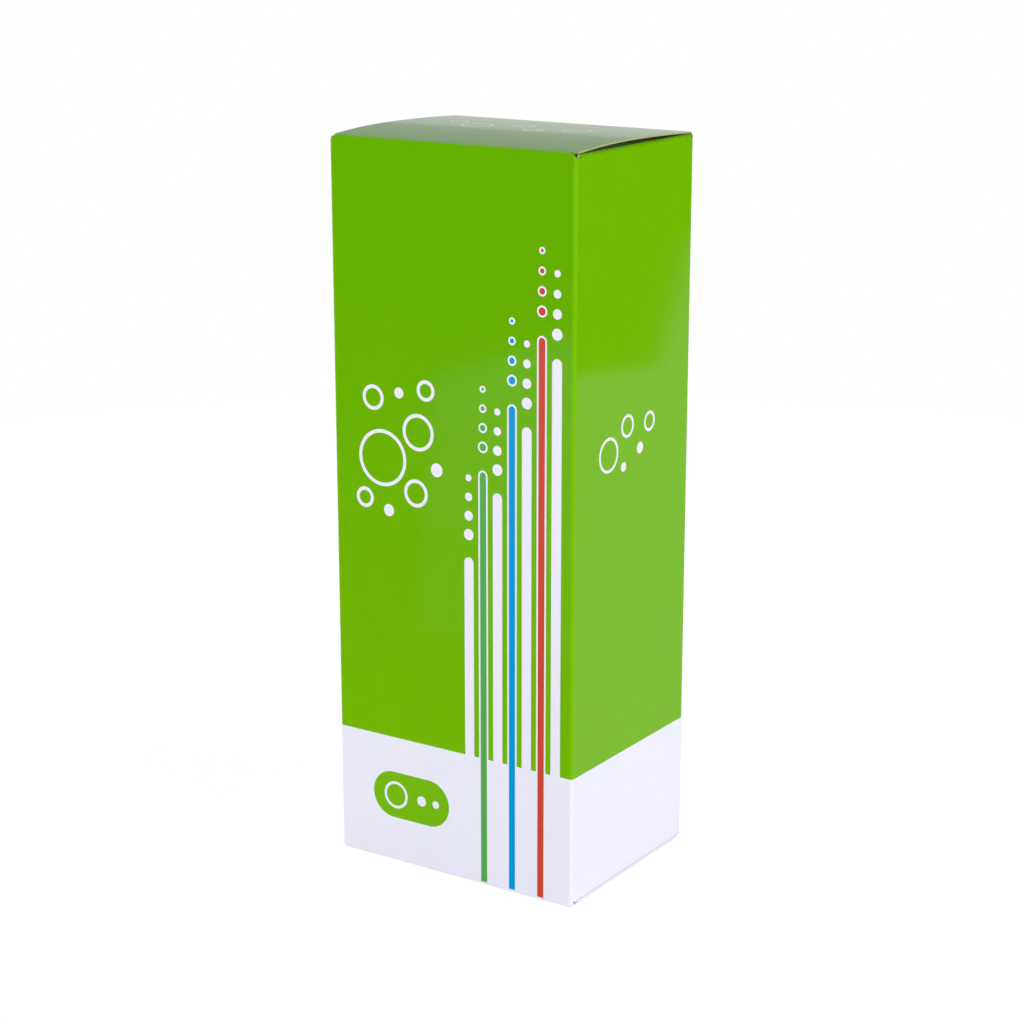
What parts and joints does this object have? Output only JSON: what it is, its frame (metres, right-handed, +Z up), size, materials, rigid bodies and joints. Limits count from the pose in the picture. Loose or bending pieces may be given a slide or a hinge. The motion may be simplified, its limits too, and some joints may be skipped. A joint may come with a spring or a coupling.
{
  "type": "carton of drinking straws",
  "caption": "Upright folding carton with a hinged tuck-in lid, full of flexible drinking straws with coloured stripes.",
  "frame": {"origin": "centre of the carton's footprint, on the surface it stands on", "axes": "+Z up, the front panel faces -Y, +X to the right as seen from the front"},
  "size_m": [0.0774, 0.059, 0.204],
  "materials": {
    "printed_board": "semi-gloss coated board, green print over a white foot, bare inside",
    "printed_lid_board": "semi-gloss coated board, green print, bare inside",
    "red_striped_plastic": "thin white plastic with two red stripes along it",
    "blue_striped_plastic": "thin white plastic with two blue stripes along it",
    "green_striped_plastic": "thin white plastic with two green stripes along it"
  },
  "bodies": {
    "carton": {"carton": "printed_board", "red_striped_straws": "red_striped_plastic", "blue_striped_straws": "blue_striped_plastic", "green_striped_straws": "green_striped_plastic"},
    "lid": {"lid": "printed_lid_board"}
  },
  "joints": [
    {"name": "lid_hinge", "type": "hinge", "parent": "carton", "child": "lid", "pos_m": [0, 0.02953, 0.202], "axis": [-1, 0, 0], "range_deg": [0, 175]}
  ]
}
